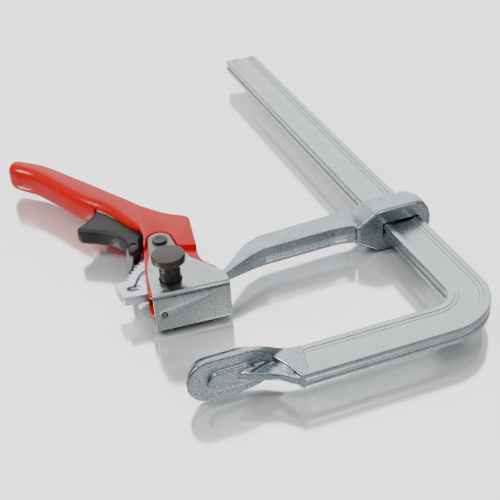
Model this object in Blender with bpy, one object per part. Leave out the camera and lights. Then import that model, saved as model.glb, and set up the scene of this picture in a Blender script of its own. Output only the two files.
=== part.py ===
"""One-handed ratchet lever clamp, lying on its side.

Frame: the origin lies on the fixed jaw's clamping face, 9.2 mm from its centre towards the jaw's
round end. +Y runs along the rail, away from the fixed jaw. +X points from the jaws to the rail.
+Z is up, across the rail's thickness, and Z = 0 is the rail's middle plane. Lengths below are in
millimetres.
"""
import math

import bmesh
import bpy
from mathutils import Vector

for old in list(bpy.data.objects):
    bpy.data.objects.remove(old, do_unlink=True)

MM = 0.001

# ---------------------------------------------------------------- driving dimensions
RAIL_WIDTH = 28.0
RAIL_THICK = 11.0
RAIL_INNER_X = 165.0            # inner edge of the long limb
RAIL_END_Y = 417.5              # far end of the long limb
BEND_INNER_R = 16.0
LIMB_INNER_Y = -9.5             # inner edge of the short limb
LIMB_END_X = 48.0               # where the short limb runs into the fixed jaw

PAD_R = 15.2                    # half height of the fixed jaw
PAD_X = -4.0                    # centre of its round end
PAD_BACK_Y = -12.5
PAD_FACE_R = 9.8

SLIDE_GAP = 0.35                # rail to window, each side
BOSS_HALF_Z = 17.0
BOSS_FRONT_Y = 92.5
BOSS_BACK_Y = 119.0

LEVER_PIVOT = (24.0, 83.5)      # the lever turns here on the arm
PLATE_PIVOT = (2.6, 82.1)       # the pressure plate's pin, carried by the lever
TRIGGER_PIVOT = (9.0, 160.0)
LINK_END = (11.3, 136.3)        # round end of the link plates
LINK_RIVET = (10.6, 132.4)
PLATE_TILT = -4.4               # degrees, how the pressure plate stands at rest

TONGUE_HALF = 3.3
TOOTH_TIP_R = 52.5
TOOTH_ROOT_R = 50.2
TOOTH_COUNT = 9
TOOTH_FIRST = 113.0             # degrees about the lever pivot
TOOTH_PITCH = 4.4

CHEEK_OUT = 11.9                # lever's half width
SHEET = 2.5
STEP_OUT = 8.7                  # half width where the cheeks are stepped in
SLOT_HALF = 6.8                 # slot in the web for the trigger
LINK_IN = 9.0
FLANGE_IN = 12.2
FLANGE_OUT = 15.0

PIVOT_PIN_R = 4.0
KNOB_R = 7.1
KNOB_NECK_R = 6.6
KNOB_CAP_R = 11.4
KNOB_TOP = 34.1
RUN = 0.3                       # clearance between pieces that touch


# ---------------------------------------------------------------- materials
def make_material(name, colour, metallic, roughness):
    mat = bpy.data.materials.new(name)
    mat.use_nodes = True
    bsdf = mat.node_tree.nodes["Principled BSDF"]
    bsdf.inputs["Base Color"].default_value = (*colour, 1.0)
    bsdf.inputs["Metallic"].default_value = metallic
    bsdf.inputs["Roughness"].default_value = roughness
    mat.diffuse_color = (*colour, 1.0)
    return mat


def zinc(name):
    return make_material(name, (0.66, 0.70, 0.73), 0.9, 0.35)


def steel(name):
    return make_material(name, (0.42, 0.43, 0.44), 0.9, 0.4)


def black_steel(name):
    return make_material(name, (0.09, 0.08, 0.075), 0.7, 0.4)


# ---------------------------------------------------------------- mesh helpers
def bm_to_object(name, bm, mat, parent=None, smooth=True, angle=35.0):
    """Turn a bmesh in frame millimetres into a named object, local to its parent's place."""
    bmesh.ops.recalc_face_normals(bm, faces=bm.faces[:])
    bmesh.ops.scale(bm, vec=(MM, MM, MM), verts=bm.verts[:])
    if parent is not None:
        bmesh.ops.translate(bm, vec=-parent_place(parent), verts=bm.verts[:])
    mesh = bpy.data.meshes.new(name)
    bm.to_mesh(mesh)
    bm.free()
    if mat is not None:
        mesh.materials.append(mat)
    if smooth:
        mesh.shade_smooth()
        mesh.set_sharp_from_angle(angle=math.radians(angle))
    ob = bpy.data.objects.new(name, mesh)
    bpy.context.scene.collection.objects.link(ob)
    ob.parent = parent
    return ob


def parent_place(empty):
    place = Vector((0.0, 0.0, 0.0))
    while empty is not None:
        place += empty.location
        empty = empty.parent
    return place


def make_empty(name, place, parent=None):
    empty = bpy.data.objects.new(name, None)
    bpy.context.scene.collection.objects.link(empty)
    base = parent_place(parent) if parent is not None else Vector((0.0, 0.0, 0.0))
    empty.location = Vector(place) * MM - base
    empty.parent = parent
    return empty


def loft(rings):
    """Skin a row of rings with equal point counts and close both ends."""
    bm = bmesh.new()
    rows = [[bm.verts.new(p) for p in ring] for ring in rings]
    count = len(rings[0])
    for a, b in zip(rows, rows[1:]):
        for i in range(count):
            j = (i + 1) % count
            bm.faces.new((a[i], a[j], b[j], b[i]))
    bm.faces.new(rows[0][::-1])
    bm.faces.new(rows[-1])
    return bm


def prism(outline, low, high):
    """Extrude an XY outline from Z = low to Z = high."""
    return loft([[Vector((x, y, z)) for x, y in outline] for z in (low, high)])


def bevelled_prism(outline, low, high, edge):
    """A prism whose two rims are chamfered by shrinking the end outlines."""
    inner = inset(outline, edge)
    rings = [(inner, low), (outline, low + edge), (outline, high - edge), (inner, high)]
    return loft([[Vector((x, y, z)) for x, y in line] for line, z in rings])


def inset(outline, dist):
    """Move every edge of a counter-clockwise outline inwards by dist."""
    result = []
    count = len(outline)
    for i in range(count):
        p0 = Vector(outline[i - 1])
        p1 = Vector(outline[i])
        p2 = Vector(outline[(i + 1) % count])
        d1 = (p1 - p0).normalized()
        d2 = (p2 - p1).normalized()
        n1 = Vector((-d1.y, d1.x))
        n2 = Vector((-d2.y, d2.x))
        mid = (n1 + n2).normalized()
        reach = dist / max(0.35, mid.dot(n1))
        result.append(tuple(p1 + mid * reach))
    return result


def cushion(outline, radii, half, steps=4):
    """A prism whose rims are rounded, each outline point by its own radius (0 stays sharp)."""
    shrunk = [Vector(p) for p in inset(outline, 1.0)]
    inwards = [b - Vector(a) for a, b in zip(outline, shrunk)]
    bm = bmesh.new()
    columns = []
    for (x, y), way, r in zip(outline, inwards, radii):
        column = []
        for sign in (-1, 1):
            levels = range(steps, -1, -1) if sign < 0 else range(steps + 1)
            for k in levels if r > 0.0 else (steps,):
                t = math.radians(90.0 * k / steps)
                shift = r * (1.0 - math.cos(t))
                z = sign * (half - r + r * math.sin(t))
                column.append(bm.verts.new((x + way.x * shift, y + way.y * shift, z)))
        if r <= 0.0:
            column = [column[0]] * (steps + 1) + [column[1]] * (steps + 1)
        columns.append(column)
    count = len(columns)
    for i in range(count):
        a = columns[i]
        b = columns[(i + 1) % count]
        for k in range(len(a) - 1):
            corners = []
            for v in (a[k], b[k], b[k + 1], a[k + 1]):
                if v not in corners:
                    corners.append(v)
            if len(corners) >= 3:
                bm.faces.new(corners)
    bm.faces.new([column[0] for column in columns][::-1])
    bm.faces.new([column[-1] for column in columns])
    return bm


def turned(profile, centre, segments=24):
    """Turn a closed (radius, z) profile about the vertical line through centre."""
    bm = bmesh.new()
    rows = []
    for k in range(segments):
        a = 2.0 * math.pi * k / segments
        rows.append([bm.verts.new((centre[0] + r * math.cos(a), centre[1] + r * math.sin(a), z))
                     if r > 0.0 else None for r, z in profile])
    poles = {}
    for j, (r, z) in enumerate(profile):
        if r <= 0.0:
            poles[j] = bm.verts.new((centre[0], centre[1], z))
    for k in range(segments):
        a = rows[k]
        b = rows[(k + 1) % segments]
        for j in range(len(profile) - 1):
            corners = []
            for v in (a[j] or poles[j], b[j] or poles[j],
                      b[j + 1] or poles.get(j + 1), a[j + 1] or poles.get(j + 1)):
                if v is not None and v not in corners:
                    corners.append(v)
            if len(corners) >= 3:
                bm.faces.new(corners)
    return bm


def ring_profile(r_in, r_out, low, high, edge=0.3):
    return [(r_in, low), (r_out - edge, low), (r_out, low + edge), (r_out, high - edge),
            (r_out - edge, high), (r_in, high), (r_in, low)]


def turned_ring(profile, centre, segments=24):
    """Turn a profile that closes on itself, for rings and washers."""
    bm = bmesh.new()
    rows = []
    for k in range(segments):
        a = 2.0 * math.pi * k / segments
        rows.append([bm.verts.new((centre[0] + r * math.cos(a), centre[1] + r * math.sin(a), z))
                     for r, z in profile[:-1]])
    count = len(profile) - 1
    for k in range(segments):
        a = rows[k]
        b = rows[(k + 1) % segments]
        for j in range(count):
            i = (j + 1) % count
            bm.faces.new((a[j], b[j], b[i], a[i]))
    return bm


def disc(centre, radius, segments=28, start=0.0, end=360.0):
    full = abs(end - start) >= 360.0
    steps = segments if full else segments + 1
    pts = []
    for k in range(steps):
        a = math.radians(start + (end - start) * k / segments)
        pts.append((centre[0] + radius * math.cos(a), centre[1] + radius * math.sin(a)))
    return pts


def polar(radius, degrees):
    a = math.radians(degrees)
    return (LEVER_PIVOT[0] + radius * math.cos(a), LEVER_PIVOT[1] + radius * math.sin(a))


def hull(points):
    """Convex hull of XY points, counter-clockwise."""
    pts = sorted(set((round(x, 5), round(y, 5)) for x, y in points))

    def half(seq):
        out = []
        for p in seq:
            while len(out) > 1:
                (ax, ay), (bx, by) = out[-2], out[-1]
                if (bx - ax) * (p[1] - ay) - (by - ay) * (p[0] - ax) > 1e-9:
                    break
                out.pop()
            out.append(p)
        return out[:-1]

    return half(pts) + half(pts[::-1])


def cut(ob, bm, operation="DIFFERENCE"):
    """Boolean a bmesh in frame millimetres with an object; the second shape stays as a guide."""
    tool = bm_to_object(ob.name + "_tool%d" % len(ob.modifiers), bm, None, smooth=False)
    tool.hide_render = True
    tool.display_type = "WIRE"
    mod = ob.modifiers.new(operation.lower() + "%d" % len(ob.modifiers), "BOOLEAN")
    mod.operation = operation
    mod.solver = "EXACT"
    mod.object = tool
    return mod


# ---------------------------------------------------------------- pivots
arm_base = make_empty("arm_base", (RAIL_INNER_X + RAIL_WIDTH / 2, BOSS_FRONT_Y, 0.0))
lever_pivot = make_empty("lever_pivot", (*LEVER_PIVOT, 0.0), arm_base)
plate_pivot = make_empty("plate_pivot", (*PLATE_PIVOT, 0.0), lever_pivot)
trigger_pivot = make_empty("trigger_pivot", (*TRIGGER_PIVOT, 0.0), lever_pivot)


# ---------------------------------------------------------------- rail with fixed jaw
def rail_section():
    """(across, up) points of the profiled bar: stepped wide faces, grooved narrow faces."""
    w = RAIL_WIDTH
    h = RAIL_THICK / 2
    top = [(1.0, h), (4.4, h), (5.0, h - 0.35), (7.0, h - 0.35), (7.6, h - 0.7)]
    top = top + [(w - x, z) for x, z in reversed(top)]
    side = [(w, h - 1.0), (w, 1.7), (w - 0.45, 1.1)]
    side = side + [(x, -z) for x, z in reversed(side)]
    bottom = [(x, -z) for x, z in reversed(top)]
    inner = [(w - x, z) for x, z in reversed(side)]
    return top + side + bottom + inner


def rail_ring(centre_along, angle=None):
    """Ring across the long limb, the bend (angle in degrees) or the short limb."""
    ring = []
    bend_x = RAIL_INNER_X - BEND_INNER_R
    bend_y = LIMB_INNER_Y + BEND_INNER_R
    for across, up in rail_section():
        if angle is None:
            ring.append(Vector((RAIL_INNER_X + across, centre_along, up)))
        else:
            r = BEND_INNER_R + across
            a = math.radians(angle)
            ring.append(Vector((bend_x + r * math.cos(a), bend_y + r * math.sin(a), up)))
    return ring


rings = []
tip = rail_ring(RAIL_END_Y)
mid = Vector((RAIL_INNER_X + RAIL_WIDTH / 2, RAIL_END_Y, 0.0))
rings.append([Vector((mid.x + (p.x - mid.x) * 0.93, p.y, p.z * 0.84)) for p in tip])
rings.append(rail_ring(RAIL_END_Y - 1.0))
rings.append(rail_ring(LIMB_INNER_Y + BEND_INNER_R))
for k in range(1, 11):
    rings.append(rail_ring(0.0, -9.0 * k))
rings.append([Vector((LIMB_END_X, LIMB_INNER_Y - across, up)) for across, up in rail_section()])
rail = bm_to_object("rail", loft(rings), zinc("rail_zinc"))


def pad_ring(y, radius):
    """Upright outline of the fixed jaw: a round end that tapers into the limb."""
    ring = []
    for k in range(15):
        a = math.radians(90.0 + 180.0 * k / 14)
        ring.append(Vector((PAD_X + radius * math.cos(a), y, radius * math.sin(a))))
    f = radius / PAD_R
    ends = [(24.0, 15.2 * f), (35.0, 12.4 * f), (44.0, 8.0 * f), (49.0, 5.3)]
    if y < -11.0:
        ends = [(19.0, radius), (26.5, 13.4 * f), (33.0, 10.2 * f), (38.5, 5.4)]
    if radius < PAD_R - 2.5:
        ends = [(22.0, radius), (27.0, radius * 0.85), (30.5, radius * 0.6), (32.0, radius * 0.4)]
    ring = ring + [Vector((x, y, -z)) for x, z in ends]
    ring = ring + [Vector((x, y, z)) for x, z in reversed(ends)]
    return ring


pad = loft([pad_ring(PAD_BACK_Y, PAD_R - 1.2), pad_ring(PAD_BACK_Y + 1.2, PAD_R),
            pad_ring(-8.6, PAD_R - 0.7), pad_ring(-5.0, PAD_R - 2.9), pad_ring(0.0, PAD_FACE_R)])
boss = []
for r, y in ((7.4, -11.9), (7.2, -12.5), (6.4, -14.9)):
    low = [(0.6 + r * math.cos(math.radians(90 + 15 * k)), r * math.sin(math.radians(90 + 15 * k)))
           for k in range(13)]
    high = [(18.0 + r * math.cos(math.radians(-90 + 15 * k)),
             r * math.sin(math.radians(-90 + 15 * k))) for k in range(13)]
    boss.append([Vector((x, y, z - 0.9)) for x, z in low + high])
pad_object = bm_to_object("jaw_pad_guide", pad, None, smooth=False)
pad_object.hide_render = True
pad_object.display_type = "WIRE"
cut(pad_object, loft(boss), "UNION")

web = [(50.0, -37.3), (50.0, LIMB_INNER_Y - 0.3), (43.5, -7.1), (38.0, -4.0), (33.0, -1.6),
       (28.0, -2.5), (28.0, -12.0), (36.6, -12.6), (39.2, -17.0), (41.2, -22.0), (43.0, -29.0),
       (44.6, -35.6), (46.0, -37.2)]
web_floor = [(47.1, -34.6), (46.3, -9.6), (17.3, -11.1), (17.3, -16.6), (19.4, -17.9),
             (43.6, -32.6)]
shoulder = [(38.7, -8.3), (15.7, -10.5), (15.7, -16.1), (18.7, -17.5), (28.1, -14.3),
            (38.7, -11.2)]
flange = [(46.6, -36.1), (46.6, -32.6), (43.3, -30.6), (21.2, -17.6), (18.0, -15.8),
          (17.0, -11.5), (13.6, -11.5), (13.2, -15.4), (15.7, -17.2), (25.3, -21.9),
          (35.0, -27.0), (43.6, -35.4)]
cut(rail, bevelled_prism(web[::-1], -5.2, 5.2, 0.8), "UNION")
join = rail.modifiers.new("pad", "BOOLEAN")
join.operation = "UNION"
join.solver = "EXACT"
join.object = pad_object
cut(rail, prism(web_floor[::-1], -1.2, 1.2), "UNION")
cut(rail, bevelled_prism(shoulder[::-1], -3.3, 3.3, 0.6), "UNION")
cut(rail, bevelled_prism(flange[::-1], -2.7, 2.7, 0.5), "UNION")

# ---------------------------------------------------------------- sliding arm
ARM_HALF = 7.4                  # half thickness of the arm between the boss and the bend
arm_stations = [
    (169.0, 93.4, 169.0, 117.5, ARM_HALF), (153.0, 93.6, 153.0, 118.4, ARM_HALF),
    (146.5, 95.2, 146.5, 119.6, ARM_HALF), (139.0, 97.9, 139.0, 120.0, ARM_HALF),
    (130.0, 98.9, 130.0, 119.7, ARM_HALF), (76.0, 97.5, 78.0, 116.9, ARM_HALF),
    (67.0, 95.4, 66.5, 112.8, 6.6),
    (56.5, 91.6, 57.0, 105.0, 5.5), (46.0, 87.5, 48.0, 96.7, 4.3),
    (37.2, 83.6, 41.0, 91.6, TONGUE_HALF)]


def arm_ring(near_x, near_y, far_x, far_y, half):
    """Forged section between a near and a far point: flat above and below, ridged at the sides."""
    near = Vector((near_x, near_y))
    far = Vector((far_x, far_y))
    run = (far - near).normalized()
    ridge = min(1.0, half * 0.15)
    side = [(1.6, -half), (0.3, -half * 0.5), (0.0, half * 0.15), (ridge, half)]
    ring = [Vector((*(near + run * inset_by), z)) for inset_by, z in side]
    return ring + [Vector((*(far - run * inset_by), z)) for inset_by, z in reversed(side)]


arm = bm_to_object("sliding_arm", loft([arm_ring(*s) for s in arm_stations]),
                   zinc("sliding_arm_zinc"), arm_base)

boss_half = [(144.5, 6.6), (149.5, 10.0), (159.5, 15.8), (163.5, BOSS_HALF_Z),
             (192.0, BOSS_HALF_Z), (197.0, 15.6), (201.5, 9.0), (203.2, 2.5)]
boss_loop = [(x, z) for x, z in boss_half] + [(x, -z) for x, z in reversed(boss_half)]
boss_mid = Vector((178.0, 0.0))


def boss_ring(y, grow_x, grow_z):
    ring = []
    for x, z in boss_loop:
        ring.append(Vector((boss_mid.x + (x - boss_mid.x) * grow_x, y, z * grow_z)))
    return ring


cut(arm, loft([boss_ring(BOSS_FRONT_Y, 0.955, 0.92), boss_ring(BOSS_FRONT_Y + 1.6, 1.0, 1.0),
               boss_ring(104.0, 1.0, 1.0), boss_ring(117.5, 0.99, 0.74),
               boss_ring(BOSS_BACK_Y, 0.96, 0.68)]), "UNION")
window_x0 = RAIL_INNER_X - SLIDE_GAP
window_x1 = RAIL_INNER_X + RAIL_WIDTH + SLIDE_GAP
window_z = RAIL_THICK / 2 + SLIDE_GAP
window = [(window_x0, 80.0), (window_x1, 80.0), (window_x1, 135.0), (window_x0, 135.0)]
cut(arm, prism(window, -window_z, window_z))

# The arm's eye is the lower half of a lap joint; the toothed segment is the upper half.
rivet_places = [polar(13.2, 104.0), polar(13.2, 58.0)]
lap = hull(disc(LEVER_PIVOT, 9.4) + disc(rivet_places[0], 4.6) + disc(rivet_places[1], 4.6)
           + [(38.2, 84.2), (40.4, 91.2)])
cut(arm, prism(lap, -TONGUE_HALF, -RUN / 2), "UNION")
cut(arm, prism(disc(LEVER_PIVOT, PIVOT_PIN_R + RUN), -8.0, 8.0))
for place in rivet_places:
    cut(arm, prism(disc(place, 2.2 + RUN, 16), -8.0, 8.0))

# ---------------------------------------------------------------- toothed segment
segment = []
for k in range(TOOTH_COUNT):
    a = TOOTH_FIRST + TOOTH_PITCH * k
    segment.append(polar(TOOTH_ROOT_R, a - TOOTH_PITCH / 2))
    segment.append(polar(TOOTH_TIP_R, a))
last = TOOTH_FIRST + TOOTH_PITCH * (TOOTH_COUNT - 0.5)
segment.append(polar(TOOTH_ROOT_R, last))
segment += [(-29.8, 108.2), (-30.4, 106.8), (-30.0, 98.0), (-29.4, 90.8), (-28.4, 89.4),
            (-11.2, 87.0)]
segment += [polar(30.0, a) for a in (171.0, 166.0, 161.0, 156.0, 151.0, 147.0)]
segment += [polar(24.5, 143.5), polar(16.0, 142.0), polar(10.5, 150.0)]
segment += disc(LEVER_PIVOT, 9.4, 16, 165.0, 385.0)
segment += [polar(18.6, 52.0), polar(19.4, 66.0), polar(28.0, 84.0), polar(38.0, 98.0),
            polar(46.0, 106.0)]
toothed = bm_to_object("toothed_segment", prism(segment[::-1], -TONGUE_HALF, TONGUE_HALF),
                       zinc("toothed_segment_zinc"), arm_base)
relief = hull(disc(LEVER_PIVOT, 9.4 + RUN) + disc(rivet_places[0], 4.6 + RUN)
              + disc(rivet_places[1], 4.6 + RUN) + [(46.0, 80.0), (48.0, 97.0)])
cut(toothed, prism(relief, -8.0, RUN / 2))
cut(toothed, prism(disc(LEVER_PIVOT, PIVOT_PIN_R + RUN), -8.0, 8.0))
for place in rivet_places:
    cut(toothed, prism(disc(place, 2.2 + RUN, 16), -8.0, 8.0))
slot = hull(disc((-21.9, 97.9), 2.9, 16) + disc((-17.0, 97.4), 2.8, 16))
cut(toothed, prism(slot, TONGUE_HALF - 0.9, 8.0))

for index, place in enumerate(rivet_places):
    head = [(0.0, -5.0), (3.4, -5.0), (4.0, -4.4), (4.0, -3.6), (2.2, -3.6),
            (2.2, 3.6), (4.0, 3.6), (4.0, 4.4), (3.4, 5.0), (0.0, 5.0)]
    bm_to_object("segment_rivet_%s" % "ab"[index], turned(head, place, 16),
                 steel("segment_rivet_%s_steel" % "ab"[index]), arm_base)


# ---------------------------------------------------------------- lever handle
def step_line(offset):
    """Outline above which the cheeks keep their full width, moved outwards by offset."""
    r = 8.9 + offset
    pts = [(-60.0, 132.0 + offset), (LINK_END[0] - r - 2.4, 131.2 + offset)]
    pts += disc(LINK_END, r, 10, 165.0, 0.0)
    pts += [(LINK_END[0] + r, 122.2 + offset), (80.0, 95.5 + offset)]
    return pts


far_edge = [(39.4, 154.5), (38.2, 157.2), (26.4, 167.4), (17.7, 178.8), (11.8, 187.6),
            (5.5, 200.0), (-3.0, 215.4), (-13.2, 234.6), (-24.2, 254.6), (-35.6, 275.0),
            (-42.3, 285.2), (-48.2, 292.4)]
tip_edge = [(-51.8, 297.8), (-55.4, 302.0), (-59.8, 303.6), (-63.6, 301.4), (-65.4, 297.0),
            (-64.4, 291.6)]
near_edge = [(-61.8, 287.0), (-57.0, 281.2), (-50.8, 272.6), (-45.2, 261.0), (-40.0, 249.0),
             (-34.9, 236.4), (-29.9, 225.0), (-24.0, 214.2), (-16.6, 202.6), (-11.0, 191.6),
             (-6.4, 179.8), (-2.0, 168.8), (1.8, 160.0)]
head_edge = [(2.8, 154.0), (2.3, 145.5), (-1.4, 132.8), (-5.4, 118.2), (-8.0, 108.2),
             (-10.8, 96.4), (-13.0, 86.4), (-14.4, 76.6), (-12.4, 74.4), (10.0, 73.6),
             (17.0, 73.0), (24.0, 72.4), (31.0, 74.2), (36.4, 79.6), (37.8, 86.0), (36.7, 91.9),
             (33.9, 96.0), (31.3, 101.4), (30.9, 109.0), (32.4, 117.0), (34.7, 128.8),
             (37.5, 143.6)]
outline = far_edge + tip_edge + near_edge + head_edge
# The web is bent with a wide radius along the grip, which runs out into the flat cheeks.
GRIP_R = 8.5
tip_radii = [3.5, 6.0, 7.5, GRIP_R, GRIP_R, GRIP_R]
near_radii = [GRIP_R] * 10 + [7.0, 5.2, 3.4]
radii = [0.0] * len(far_edge) + tip_radii + near_radii + [0.0] * len(head_edge)
handle = bm_to_object("lever_handle", cushion(outline, radii, CHEEK_OUT),
                      make_material("lever_red", (0.82, 0.03, 0.02), 0.0, 0.35),
                      lever_pivot, angle=30.0)

# Inside of the channel: open towards the rail, closed at the tip and along the near side.
curved = slice(len(far_edge), len(far_edge) + len(tip_edge) + len(near_edge))
inner_wall = inset(outline, SHEET)[curved]
inner_radii = [0.0, 0.6, 1.4, 2.4, 3.2, 4.2] + [max(0.0, r - SHEET) for r in near_radii]
inner_step = step_line(SHEET)
open_side = [(90.0, 140.0), (90.0, 240.0), (0.0, 300.0), (-34.0, 300.0)]
cavity = open_side + inner_wall + [(-12.0, 152.0)] + inner_step
cavity_radii = [0.0] * len(open_side) + inner_radii + [0.0] * (1 + len(inner_step))
cut(handle, cushion(cavity, cavity_radii, CHEEK_OUT - SHEET))
# The near side is slotted for the trigger, from the end of the grip's web to the head.
slot = [(-9.0, 210.8), (-70.0, 180.0), (-60.0, 138.0), (9.0, 150.0), (6.0, 180.0)]
cut(handle, prism(slot, -SLOT_HALF, SLOT_HALF))
low_zone = [(p[0], p[1] + 0.6) for p in inner_step] + [(80.0, 40.0), (-60.0, 40.0)]
cut(handle, prism(low_zone, -(STEP_OUT - SHEET), STEP_OUT - SHEET))
for side in (1, -1):
    recess = step_line(0.0) + [(80.0, 40.0), (-60.0, 40.0)]
    z0, z1 = sorted((side * STEP_OUT, side * (CHEEK_OUT + 4.0)))
    cut(handle, prism(recess, z0, z1))
for centre, radius in ((LEVER_PIVOT, PIVOT_PIN_R), (PLATE_PIVOT, KNOB_R), (LINK_RIVET, 3.0)):
    cut(handle, prism(disc(centre, radius + RUN), -20.0, 20.0))

# ---------------------------------------------------------------- link plates and their rivets
plate = disc(LINK_END, 8.2, 12, 0.0, 171.0)
plate += disc(PLATE_PIVOT, 12.6, 12, 171.0, 276.0)
plate += disc(LEVER_PIVOT, 8.2, 10, 276.0, 410.0)
plate += [(25.6, 93.0), (19.5, 106.0)]
for side, word in ((1, "upper"), (-1, "lower")):
    z0, z1 = sorted((side * LINK_IN, side * (CHEEK_OUT - 0.05)))
    link = bm_to_object("link_plate_%s" % word, bevelled_prism(plate, z0, z1, 0.35),
                        make_material("link_%s_steel" % word, (0.44, 0.40, 0.36), 0.6, 0.5),
                        lever_pivot)
    for centre, radius in ((LEVER_PIVOT, PIVOT_PIN_R), (PLATE_PIVOT, KNOB_R), (LINK_RIVET, 3.0)):
        cut(link, prism(disc(centre, radius + RUN), -20.0, 20.0))
    rivet = [(0.0, 5.2), (4.2, 5.2), (4.6, 5.6), (4.6, 5.9), (3.0, 5.9), (3.0, 12.2), (5.3, 12.2),
             (5.3, 13.7), (4.7, 14.3), (0.0, 14.3)]
    if side < 0:
        rivet = [(r, -z) for r, z in reversed(rivet)]
    bm_to_object("link_rivet_%s" % word, turned(rivet, LINK_RIVET, 20),
                 black_steel("link_rivet_%s_steel" % word), lever_pivot)

# ---------------------------------------------------------------- pivot pin, washers, knob pin
pin = [(0.0, -11.8), (3.6, -11.8), (PIVOT_PIN_R, -11.4), (PIVOT_PIN_R, 11.4), (3.6, 11.8),
       (0.0, 11.8)]
bm_to_object("pivot_pin", turned(pin, LEVER_PIVOT, 24), steel("pivot_pin_steel"), arm_base)
for side, word in ((1, "upper"), (-1, "lower")):
    z0, z1 = sorted((side * (TONGUE_HALF + RUN), side * (STEP_OUT - SHEET - RUN)))
    bm_to_object("washer_%s" % word,
                 turned_ring(ring_profile(PIVOT_PIN_R + RUN, 8.0, z0, z1), LEVER_PIVOT, 24),
                 steel("washer_%s_steel" % word), arm_base)

knob = [(0.0, -17.0), (5.2, -17.0), (5.8, -16.4), (5.8, -15.3), (KNOB_R, -15.0),
        (KNOB_R, 22.0), (KNOB_R - 0.5, 22.8), (KNOB_NECK_R, 23.4), (KNOB_NECK_R, 27.6),
        (8.2, 28.4), (KNOB_CAP_R - 0.6, 29.2), (KNOB_CAP_R, 29.8), (KNOB_CAP_R, 33.0),
        (KNOB_CAP_R - 0.9, KNOB_TOP), (0.0, KNOB_TOP)]
bm_to_object("knob_pin", turned(knob, PLATE_PIVOT, 32), black_steel("knob_pin_steel"),
             lever_pivot)
bm_to_object("knob_ring", turned_ring(ring_profile(6.1, 9.0, -16.7, -15.6), PLATE_PIVOT, 28),
             black_steel("knob_ring_steel"), lever_pivot)

# ---------------------------------------------------------------- trigger, pawl, pins, springs
trigger_outline = [
    (-36.4, 187.0), (-36.4, 183.4), (-33.6, 180.2), (-24.6, 174.2), (-18.3, 168.8),
    (-13.6, 163.4), (-10.8, 158.2), (-9.2, 152.4), (-9.3, 146.0), (-10.6, 140.0),
    (-8.0, 136.8), (-4.6, 138.8), (-1.8, 143.0), (-0.8, 147.5), (1.6, 151.8), (6.2, 154.6),
    (9.0, 154.0), (12.0, 155.0), (14.6, 158.0), (14.8, 161.6), (12.6, 165.0), (8.0, 166.4),
    (2.4, 172.8), (-3.4, 183.4), (-10.0, 195.2), (-14.2, 202.0), (-17.6, 204.2), (-26.4, 193.9)]
trigger = bm_to_object("trigger", bevelled_prism(trigger_outline, -6.3, 6.3, 1.6),
                       make_material("trigger_plastic", (0.05, 0.05, 0.05), 0.0, 0.45),
                       trigger_pivot)
pin_place = (-5.6, 145.6)
slot_outline = [(-30.0, 130.0), (10.0, 130.0), (4.0, 152.6), (-9.8, 152.6), (-14.0, 146.0)]
cut(trigger, prism(slot_outline, -3.7, 3.7))
cut(trigger, prism(disc(pin_place, 2.3, 16), -12.0, 12.0))
cut(trigger, prism(disc(TRIGGER_PIVOT, 2.3, 20), -12.0, 12.0))
cut(trigger, prism(disc(TRIGGER_PIVOT, 8.6, 24), -2.6, 2.6))

claw = polar(52.95, 139.8)
pawl_outline = [(-16.9, 119.6), claw, (-12.6, 124.6), (-10.2, 131.4), (-8.2, 137.4),
                (-2.4, 143.2), (-2.2, 148.6), (-5.2, 151.4), (-9.0, 149.8), (-12.2, 141.6),
                (-14.4, 133.0), (-16.2, 125.6)]
pawl = bm_to_object("pawl", prism(pawl_outline, -3.3, 3.3), steel("pawl_steel"), trigger_pivot)
cut(pawl, prism(disc(pin_place, 2.3, 16), -12.0, 12.0))
pin = [(0.0, -6.0), (1.6, -6.0), (2.0, -5.6), (2.0, 5.6), (1.6, 6.0), (0.0, 6.0)]
bm_to_object("pawl_pin", turned(pin, pin_place, 16), steel("pawl_pin_steel"), trigger_pivot)
pin = [(0.0, -9.1), (1.6, -9.1), (2.0, -8.7), (2.0, 8.7), (1.6, 9.1), (0.0, 9.1)]
bm_to_object("trigger_pin", turned(pin, TRIGGER_PIVOT, 16), steel("trigger_pin_steel"),
             lever_pivot)


def tube(points, radius, sides=8):
    """Round wire through a row of points."""
    rings = []
    up = Vector((0.0, 0.0, 1.0))
    for i, p in enumerate(points):
        ahead = points[min(i + 1, len(points) - 1)] - points[max(i - 1, 0)]
        ahead.normalize()
        side = ahead.cross(up)
        if side.length < 1e-3:
            side = Vector((1.0, 0.0, 0.0))
        side.normalize()
        top = side.cross(ahead)
        rings.append([p + radius * (math.cos(a) * side + math.sin(a) * top)
                      for a in [2.0 * math.pi * k / sides for k in range(sides)]])
    return loft(rings)


coil = []
for k in range(3 * 14 + 1):
    a = 2.0 * math.pi * k / 14
    coil.append(Vector((TRIGGER_PIVOT[0] + 3.4 * math.cos(a), TRIGGER_PIVOT[1] + 3.4 * math.sin(a),
                        -1.7 + 3.4 * k / 42)))
bm_to_object("trigger_spring", tube(coil, 0.45, 6), steel("trigger_spring_steel"), lever_pivot)

wire_path = [(-16.6, 95.4, 3.1), (-21.6, 95.9, 3.1), (-23.3, 96.8, 3.1), (-23.6, 98.6, 3.1),
             (-21.8, 99.6, 3.1), (-19.4, 99.4, 3.7), (-17.4, 101.0, 4.2), (-15.4, 104.6, 4.2),
             (-13.4, 107.8, 4.2), (-10.0, 111.4, 4.2), (-5.0, 114.2, 4.2), (1.0, 115.4, 4.2),
             (7.0, 114.6, 4.2), (12.0, 111.8, 4.2)]
bm_to_object("return_spring", tube([Vector(p) for p in wire_path], 0.5, 8),
             steel("return_spring_steel"), arm_base)


# ---------------------------------------------------------------- pressure plate
def plate_place(points):
    """From the plate's own frame (its pin at 0,0, its face towards -Y) to the clamp's frame."""
    c = math.cos(math.radians(PLATE_TILT))
    s = math.sin(math.radians(PLATE_TILT))
    return [(PLATE_PIVOT[0] + u * c - v * s, PLATE_PIVOT[1] + u * s + v * c) for u, v in points]


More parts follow.
